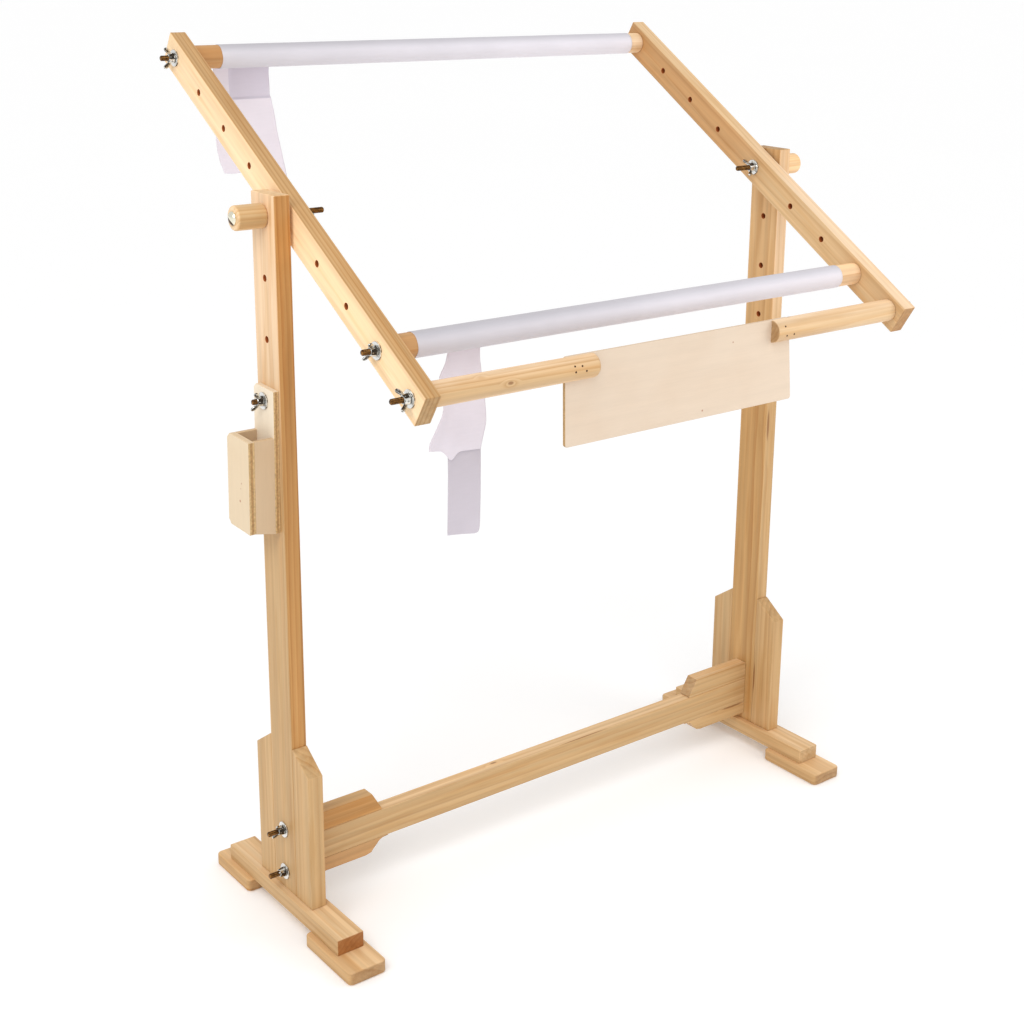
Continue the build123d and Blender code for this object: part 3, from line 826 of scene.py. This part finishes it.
def tool_box():
    """A plywood pocket. Its outlines are (y, z) about the bolt, before it leans."""
    place = Matrix.Translation((0, 0, BOX_BOLT_Z)) @ Matrix.Rotation(BOX_TILT, 4, "X")
    front, rear = BOX_FRONT, BOX_REAR
    plate = [(front, -PLATE_DOWN), (rear, -PLATE_DOWN), (rear, PLATE_UP - PLATE_CORNER),
             (rear - PLATE_CORNER, PLATE_UP), (front, PLATE_UP)]
    cut, edge = 5 * MM, rear + OVERHANG
    panel = [(front, -POCKET_DOWN), (edge - cut, -POCKET_DOWN), (edge, cut - POCKET_DOWN),
             (edge, POCKET_TOP - cut), (edge - cut, POCKET_TOP), (front, POCKET_TOP)]
    spots = [((-0.393, 0.0033, 0.4922), 1.9 * MM), ((-0.393, -0.001, 0.512), 1.1 * MM),
             ((-0.393, 0.001, 0.506), 0.8 * MM)]
    box_sheet("tool_box_plate", plate, place, PLATE_TONE, [(0.0, 0.0, HOLE_R)])
    box_sheet("tool_box_panel", panel, place, BOX_TONE, spots=spots)
    floor = rectangle((front + SIDE_T, -POCKET_DOWN), (rear - SIDE_T, SIDE_T - POCKET_DOWN))
    box_sheet("tool_box_floor", floor, place, BOX_SIDE_TONE)
    box_strip("tool_box_front_side", front, place)
    box_strip("tool_box_rear_side", rear - SIDE_T, place)


def box_sheet(node, outline, place, tone, holes=(), spots=()):
    """A flat piece of the tool box, parallel to the post."""
    low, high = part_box(node)
    wood = plywood(node + "_plywood", 0, low[0], high[0], tone, seed=low[0] * 50, spots=spots)
    lay = place @ Matrix.Translation((low[0], 0, 0)) @ YZ
    adopt(plank(node + "_wood", wood, outline, high[0] - low[0], lay, holes, 0.8 * MM, 0.4 * MM), node)


def box_strip(node, front, place):
    """A side of the pocket. Its lower edge runs down a little toward the post."""
    low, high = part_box(node)
    outline = [(low[0], -POCKET_DOWN), (high[0], -PLATE_DOWN), (high[0], POCKET_TOP),
               (low[0], POCKET_TOP)]
    wood = plywood(node + "_plywood", 1, low[1], high[1], BOX_SIDE_TONE, seed=low[1] * 90)
    lay = place @ Matrix.Translation((0, front + SIDE_T, 0)) @ XZ
    adopt(plank(node + "_wood", wood, outline, SIDE_T, lay, (), 0.4 * MM, 0.4 * MM), node)


# ---- hardware ---------------------------------------------------------------------

BOLT_HEAD = 4.0 * MM                 # height of a pivot bolt's domed head
WASHER_T = 1.6                       # washer sizes are in millimetres
WING_ANGLES = {                      # how far each nut is turned, in degrees
    "left_upper_roller_nut": 8, "right_upper_roller_nut": 70,
    "left_lower_roller_nut": 35, "right_lower_roller_nut": -20,
    "left_rest_bar_nut": -30, "right_rest_bar_nut": 50,
    "left_pivot_nut": 100, "right_pivot_nut": -35,
    "left_upper_stretcher_nut": 30, "left_lower_stretcher_nut": 55,
    "right_upper_stretcher_nut": -10, "right_lower_stretcher_nut": 80,
    "tool_box_nut": 25,
}


def wing_nut_mesh():
    """A cast wing nut about local Z, its flat face at 0."""
    bm = bmesh.new()
    profile = [(3.15, 0.0), (5.0, 0.0), (5.5, 0.5), (5.3, 1.4), (4.7, 3.6), (4.3, 5.6), (4.0, 6.3),
               (3.6, 6.5), (3.15, 6.4), (3.15, 0.0)]
    lathe(bm, [(r * MM, h * MM) for r, h in profile], Matrix.Identity(4), segments=40)
    ear = [(3.3, 1.6), (5.0, 2.2), (7.2, 3.4), (9.6, 5.0), (11.2, 7.4), (11.4, 9.4), (10.4, 10.8),
           (8.8, 10.8), (7.2, 9.6), (5.8, 8.0), (4.8, 6.6), (3.3, 5.8)]
    for sign in (1, -1):
        sheets = []
        for y, shrink in ((-1.15, 0.82), (-0.7, 1.0), (0.7, 1.0), (1.15, 0.82)):
            centre = Vector((8.0, 6.6))
            points = [centre + (Vector(p) - centre) * shrink for p in ear]
            sheets.append([bm.verts.new(Vector((sign * p.x, sign * y, p.y)) * MM) for p in points])
        skin(bm, sheets)
        bm.faces.new(sheets[0])
        bm.faces.new(sheets[-1])
    bmesh.ops.recalc_face_normals(bm, faces=bm.faces)
    raw = bpy.data.meshes.new("wing_nut_raw")
    bm.to_mesh(raw)
    bm.free()
    draft = add_object("wing_nut_draft", raw)
    remesh = draft.modifiers.new("remesh", "REMESH")
    remesh.mode = "VOXEL"
    remesh.voxel_size = 0.32 * MM
    smooth = draft.modifiers.new("smooth", "SMOOTH")
    smooth.iterations = 4
    evaluated = draft.evaluated_get(bpy.context.evaluated_depsgraph_get())
    mesh = bpy.data.meshes.new_from_object(evaluated)
    mesh.name = "wing_nut"
    mesh.polygons.foreach_set("use_smooth", [True] * len(mesh.polygons))
    mesh.materials.clear()
    mesh.materials.append(CAST_ZINC)
    bpy.data.objects.remove(draft)
    return mesh


def wing_nuts():
    mesh = wing_nut_mesh()
    for node, angle in WING_ANGLES.items():
        low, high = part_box(node)
        centre = middle(node)
        outward = -1 if centre.x < 0 else 1
        if "pivot" in node:
            outward = -outward
        face = low[0] if outward > 0 else high[0]
        nut = add_object(node + "_cast", mesh)
        nut.matrix_world = (Matrix.Translation((face, centre.y, centre.z))
                            @ Matrix.Rotation(math.radians(angle), 4, "X")
                            @ Matrix.Rotation(outward * math.pi / 2, 4, "Y"))
        adopt(nut, node)


def outward_place(x, y, z, way):
    return Matrix.Translation((x, y, z)) @ Matrix.Rotation(way * math.pi / 2, 4, "Y")


def on_arm(u):
    return PIVOT.y + u * math.cos(TILT), PIVOT.z + u * math.sin(TILT)


def studs():
    """Threaded studs. Each starts inside the wood and is threaded where it shows."""
    stretcher_bm = bmesh.new()
    low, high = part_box("stretcher_studs")
    for side, tip in ((-1, low[0]), (1, high[0])):
        for z in STRETCHER_BOLT_Z:
            start = side * 300 * MM
            thread_profile(stretcher_bm, outward_place(start, 0, z, side), abs(tip - start), 54 * MM)
    adopt(make_object("stretcher_threads", stretcher_bm, BRONZED, False), "stretcher_studs")
    for node, u in (("upper_roller_studs", UPPER_U), ("lower_roller_studs", LOWER_U),
                    ("rest_bar_studs", REST_U)):
        bm = bmesh.new()
        low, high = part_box(node)
        y, z = on_arm(u)
        for side, tip in ((-1, low[0]), (1, high[0])):
            start = side * 280 * MM
            thread_profile(bm, outward_place(start, y, z, side), abs(tip - start), 54 * MM)
        adopt(make_object(node + "_threads", bm, BRONZED, False), node)


def pivot_bolts():
    for name, side in SIDES.items():
        node = f"{name}_pivot_bolt"
        low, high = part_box(node)
        tip, outer = (high[0], low[0]) if side < 0 else (low[0], high[0])
        seat = outer - side * BOLT_HEAD
        bm = bmesh.new()
        thread_profile(bm, outward_place(seat, 0, PIVOT.z, -side), abs(tip - seat), 74 * MM)
        dome = [(0.0, -0.2 * MM), (6.6 * MM, -0.2 * MM), (7.0 * MM, 0.2 * MM)]
        dome += [(7.0 * MM * math.cos(t), 0.4 * MM + (BOLT_HEAD - 0.4 * MM) * math.sin(t))
                 for t in (0.15, 0.4, 0.65, 0.9, 1.15, 1.4)] + [(0.0, BOLT_HEAD)]
        lathe(bm, dome, outward_place(seat, 0, PIVOT.z, side), segments=40, slot=1)
        bolt = make_object(node + "_steel", bm, BRONZED, False)
        bolt.data.materials.append(POLISHED)
        adopt(bolt, node)


def tool_box_bolt():
    low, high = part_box("tool_box_bolt")
    seat = high[0] - 2 * MM
    bm = bmesh.new()
    thread_profile(bm, outward_place(seat, 0, BOX_BOLT_Z, -1), seat - low[0], 20 * MM)
    head = [(0.0, 0.0), (7.0, 0.0), (7.0, 1.2), (6.0, 2.0), (3.6, 2.4), (0.0, 2.4)]
    place = outward_place(high[0] - 2.4 * MM, 0, BOX_BOLT_Z, 1)
    lathe(bm, [(r * MM, h * MM) for r, h in head], place, segments=40)
    adopt(make_object("tool_box_bolt_steel", bm, BRONZED, False), "tool_box_bolt")


def washer(bm, x, y, z, way):
    """A washer that lies on the face at x and rises outward from it."""
    outer, inner, edge, top = 9.0, 3.3, 0.25, WASHER_T - 0.25
    profile = [(inner, edge), (inner + edge, 0), (outer - edge, 0), (outer, edge), (outer, top),
               (outer - edge, WASHER_T), (inner + edge, WASHER_T), (inner, top), (inner, edge)]
    lathe(bm, [(r * MM, h * MM) for r, h in profile], outward_place(x, y, z, way), segments=40)


def washers():
    stand, tilting = bmesh.new(), bmesh.new()
    for side in SIDES.values():
        post_outer, post_inner = side * 358 * MM, side * 340 * MM
        for z in STRETCHER_BOLT_Z:
            washer(stand, post_outer, 0, z, side)
        for row in range(2):
            washer(stand, post_inner - side * row * WASHER_T * MM, 0, PIVOT.z, -side)
        arm_outer, arm_inner = side * 336.2 * MM, side * 318.2 * MM
        for u in (UPPER_U, LOWER_U, REST_U):
            washer(tilting, arm_outer, *on_arm(u), side)
        washer(tilting, arm_inner, 0, PIVOT.z, -side)
    washer(stand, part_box("tool_box_plate")[0][0] - 0.1 * MM, 0, BOX_BOLT_Z, -1)
    adopt(make_object("stand_washer_rings", stand, ZINC), "stand_washers")
    adopt(make_object("frame_washer_rings", tilting, ZINC), "frame_washers")


# ---- cloth ------------------------------------------------------------------------

def cloth_object(name, bm, thickness, material):
    piece = make_object(name, bm, material, False)
    solid = piece.modifiers.new("thickness", "SOLIDIFY")
    solid.thickness = thickness
    solid.offset = 0
    return piece


def sleeves():
    """Cloth wrapped tightly once round each roller, its free edge lapped at the back."""
    radius = 12.85 * MM
    for name in ("upper", "lower"):
        node = f"{name}_cloth_sleeve"
        low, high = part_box(node)
        centre = middle(node)
        bm = bmesh.new()
        columns, rows = 320, 72
        lap = math.radians(24)
        grid = []
        for i in range(columns + 1):
            x = low[0] + (high[0] - low[0]) * i / columns
            line = []
            for j in range(rows + 1):
                turn = math.radians(-20) + (2 * math.pi + lap) * j / rows
                over = max(0.0, (j / rows - 0.85) / 0.15) * 0.25 * MM
                spot = Vector((x * 18, math.cos(turn) * 1.5, math.sin(turn) * 1.5))
                crease = 0.12 * MM * noise.noise(spot)
                edge_wave = 0.8 * MM * noise.noise(Vector((turn, 3.0 if i == 0 else 7.0, 0)))
                shift = edge_wave if i in (0, columns) else 0.0
                r = radius + over + crease
                y, z = centre.y + r * math.cos(turn), centre.z + r * math.sin(turn)
                line.append(bm.verts.new((x + shift, y, z)))
            grid.append(line)
        skin(bm, grid, closed=False)
        piece = cloth_object(f"{name}_sleeve_cloth", bm, 0.3 * MM, CLOTH)
        adopt(piece, node)


def smooth_between(stations, t):
    """The values at t, 0 to 1, of a smooth line through evenly spaced tuples."""
    place = t * (len(stations) - 1)
    i = min(int(place), len(stations) - 2)
    f = place - i
    ring = [stations[max(0, min(k, len(stations) - 1))] for k in (i - 1, i, i + 1, i + 2)]
    blended = []
    for a, b, c, d in zip(*ring):
        blended.append(0.5 * (2 * b + (c - a) * f + (2 * a - 5 * b + 4 * c - d) * f * f
                              + (3 * b - a - 3 * c + d) * f ** 3))
    return blended


def hung_cloth(name, stations, depth, relief, shaded, lift, reverse, columns=48, rows=180):
    """A hanging sheet. Each station is a left x, z, a right x, z and a distance back, in millimetres.

    relief(x, z) adds small folds, shaded(x, z, t) picks the faces that take the second material (the reverse
    argument), a copy of the cloth in painted shade, and lift(s, t) bends the hems up. s is 0 to 1 across the sheet
    and t is 0 to 1 along it."""
    bm = bmesh.new()
    grid = []
    for j in range(rows + 1):
        t = j / rows
        left_x, left_z, right_x, right_z, back = smooth_between(stations, t)
        line = []
        for i in range(columns + 1):
            s = i / columns
            x, z = left_x + (right_x - left_x) * s, left_z + (right_z - left_z) * s + lift(s, t)
            y = depth + (back + relief(x, z)) * MM
            line.append(bm.verts.new((x * MM, y, z * MM)))
        grid.append(line)
    skin(bm, grid, closed=False)
    # the picked faces take the second material, the cloth in painted shade
    for number, face in enumerate(bm.faces):
        centre = face.calc_center_median() / MM
        if shaded(centre.x, centre.z, number // columns / rows):
            face.material_index = 1
    piece = cloth_object(name, bm, 0.3 * MM, TAIL)
    piece.data.materials.append(reverse)
    return piece


# Stations down each tail: left x, z, right x, z and the distance back, in millimetres.
UPPER_TAIL = [(-285, 912, -216, 912, -1.0), (-285, 898, -216, 898, 0.3), (-285, 885, -215.5, 885, 0.4),
              (-285, 871, -215, 871, 0.2), (-285, 853, -211, 853, 0.0), (-284.5, 836, -208, 834, 0.0),
              (-284, 820, -204, 815, 0.3), (-281, 804, -200, 794, 0.5), (-276, 790, -196, 772, 0.8)]
FOLD_X, FOLD_Z = -266.4, 870.5       # a fold crosses the upper tail at this height, right of this x


def upper_tail():
    """A strip whose part above a fold is set back a little and painted in shade."""
    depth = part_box("upper_cloth_tail")[0].y

    # right of and above the fold, the cloth takes its copy in painted shade
    def above_fold(x, z, t):
        return x > FOLD_X and z > FOLD_Z

    def relief(x, z):
        set_back = 2.0 * min(1.0, max(0.0, (x - FOLD_X) / 5)) * min(1.0, max(0.0, (z - FOLD_Z) / 3))
        ripple = 1.3 * math.sin(0.085 * x + 0.02 * z) * math.sin(0.04 * (z - 870))
        crease = 1.6 * math.exp(-(0.16 * (x + 0.45 * z - 128)) ** 2)
        return set_back + ripple + crease * min(1.0, max(0.0, (FOLD_Z - z) / 10))

    def lift(s, t):
        return 7 * t ** 6 * math.sin(math.pi * s) ** 2

    tail = hung_cloth("upper_tail_cloth", UPPER_TAIL, depth, relief, above_fold, lift, SHADED_UPPER_TAIL)
    adopt(tail, "upper_cloth_tail")


SLEEVE_TURN = 0.44                   # where along it the lower tail passes over the sleeve
LOWER_TAIL = [(-269.5, 563, -207.5, 552, 0.0), (-268.5, 571, -205, 565, 0.0), (-260, 587, -201.5, 583, 0.1),
              (-252.5, 602, -202.6, 602, 0.2), (-255, 619, -205, 620, 0.2), (-257, 635, -207, 638, 0.2),
              (-250, 650, -208.5, 651, 0.0), (-246, 668, -209, 668, -0.9), (-245.5, 664, -208.5, 664, 0.4),
              (-245.5, 646, -208, 646, 1.5), (-246, 618, -208, 617, 1.6), (-246, 590, -207.5, 588, 1.6),
              (-246, 562, -206.5, 559, 1.6), (-246, 532, -206.5, 529, 1.6), (-246.5, 500, -207, 497, 1.6),
              (-246.8, 476, -208.5, 470, 1.6), (-246.8, 470.5, -214, 466, 1.6)]


def lower_tail():
    """A strip doubled over the sleeve: a short flap in front and the long end behind it."""
    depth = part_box("lower_cloth_tail")[0].y

    def relief(x, z):
        ripple = 1.3 * math.sin(0.11 * x + 0.03 * z) * math.sin(0.035 * (z - 650))
        sweep = 2.0 * math.exp(-(0.11 * (x - 0.35 * z + 452)) ** 2)
        crumpled = max(0.0, min(1.0, (658 - z) / 30, (z - 535) / 25))
        return (ripple + sweep) * crumpled + 0.8 * math.sin(0.1 * x) * (z < 560) * (560 - z) / 90

    def lift(s, t):
        pucker = -9 * math.exp(-((s - 0.42) / 0.10) ** 2) + 6 * max(0.0, s - 0.5)
        return pucker * max(0.0, 1 - t / 0.08)

    # the long end behind the flap takes the cloth copy in painted shade
    def behind(x, z, t):
        return t > SLEEVE_TURN

    tail = hung_cloth("lower_tail_cloth", LOWER_TAIL, depth, relief, behind, lift, SHADED_LOWER_TAIL, 40, 260)
    adopt(tail, "lower_cloth_tail")


# ---- stage ------------------------------------------------------------------------

def stage():
    bm = bmesh.new()
    bmesh.ops.create_grid(bm, x_segments=1, y_segments=1, size=30)
    shader = Shader("floor_paint", roughness=0.9, Specular_IOR_Level=0.1, Emission_Color=(1, 1, 1, 1),
                    Emission_Strength=0.04)
    cloud = shader.noise(shader.coords(), 0.6, 2.0, 0.5)
    shader.colour(shader.tint((0.99, 0.99, 0.99), cloud, 0.99, 1.0))
    floor = make_object("floor", bm, shader.material, False)
    floor.location.z = -0.0005


def backdrop():
    """A white dome far behind the floor, which lights nothing."""
    bm = bmesh.new()
    bmesh.ops.create_uvsphere(bm, u_segments=64, v_segments=32, radius=40)
    shader = Shader("backdrop_paint", roughness=0.9, Emission_Color=(1, 1, 1, 1), Emission_Strength=1.0)
    dome = make_object("backdrop", bm, shader.material, True)
    dome.visible_diffuse = False
    dome.visible_glossy = False
    dome.visible_transmission = False
    dome.visible_shadow = False


def sun(name, toward, strength, spread):
    """Even light from one side, with soft shadows. toward points from the object to the light."""
    light = bpy.data.lights.new(name, "SUN")
    light.energy = strength
    light.angle = math.radians(spread)
    made = add_object(name, light)
    made.rotation_euler = Vector(toward).to_track_quat("Z", "Y").to_euler()


def lamp(name, place, target, size, power):
    """A soft lamp close to the object."""
    light = bpy.data.lights.new(name, "AREA")
    light.shape = "DISK"
    light.size = size
    light.energy = power
    made = add_object(name, light)
    made.location = place
    made.rotation_euler = (Vector(place) - Vector(target)).to_track_quat("Z", "Y").to_euler()


def lights():
    world = bpy.data.worlds.new("studio")
    bpy.context.scene.world = world
    world.use_nodes = True
    sky = world.node_tree.nodes["Background"]
    sky.inputs["Color"].default_value = (1.0, 1.0, 1.0, 1)
    sky.inputs["Strength"].default_value = 0.76
    sun("key", (-0.55, -0.60, 1.0), 0.88, 40)
    lamp("left_lamp", (-1.05, -0.30, 1.15), (-0.35, 0.0, 0.75), 0.5, 2.2)
    lamp("right_lamp", (0.72, -0.80, 0.95), (0.33, -0.15, 0.62), 0.5, 1.6)
    bpy.context.scene.view_settings.view_transform = "Standard"


def camera():
    azimuth, elevation, roll = math.radians(-38.548), math.radians(15.975), math.radians(0.857)
    back = Vector((math.sin(azimuth) * math.cos(elevation), -math.cos(azimuth) * math.cos(elevation),
                   math.sin(elevation)))
    level = Vector((math.cos(azimuth), math.sin(azimuth), 0))
    up = back.cross(level)
    right = math.cos(roll) * level + math.sin(roll) * up
    above = math.cos(roll) * up - math.sin(roll) * level
    lens = bpy.data.cameras.new("camera")
    lens.sensor_width = 36
    lens.lens = 57.169
    lens.shift_x = -0.043
    lens.shift_y = -0.10
    made = add_object("camera", lens)
    turn = Matrix((right, above, back)).transposed().to_4x4()
    made.matrix_world = Matrix.Translation((-1.1180, -1.4203, 1.0421)) @ turn
    bpy.context.scene.camera = made


def small_parts():
    """The foot screws keep their own shape."""
    slots = frame["nodes"]["foot_screws"].data.materials
    slots.clear()
    slots.append(ZINC)


camera()
stage()
backdrop()
lights()
posts()
gussets()
feet()
stretcher()
arms()
rollers()
knobs()
rest_bar()
panel_nails()
tool_box()
wing_nuts()
studs()
pivot_bolts()
tool_box_bolt()
washers()
sleeves()
upper_tail()
lower_tail()
small_parts()
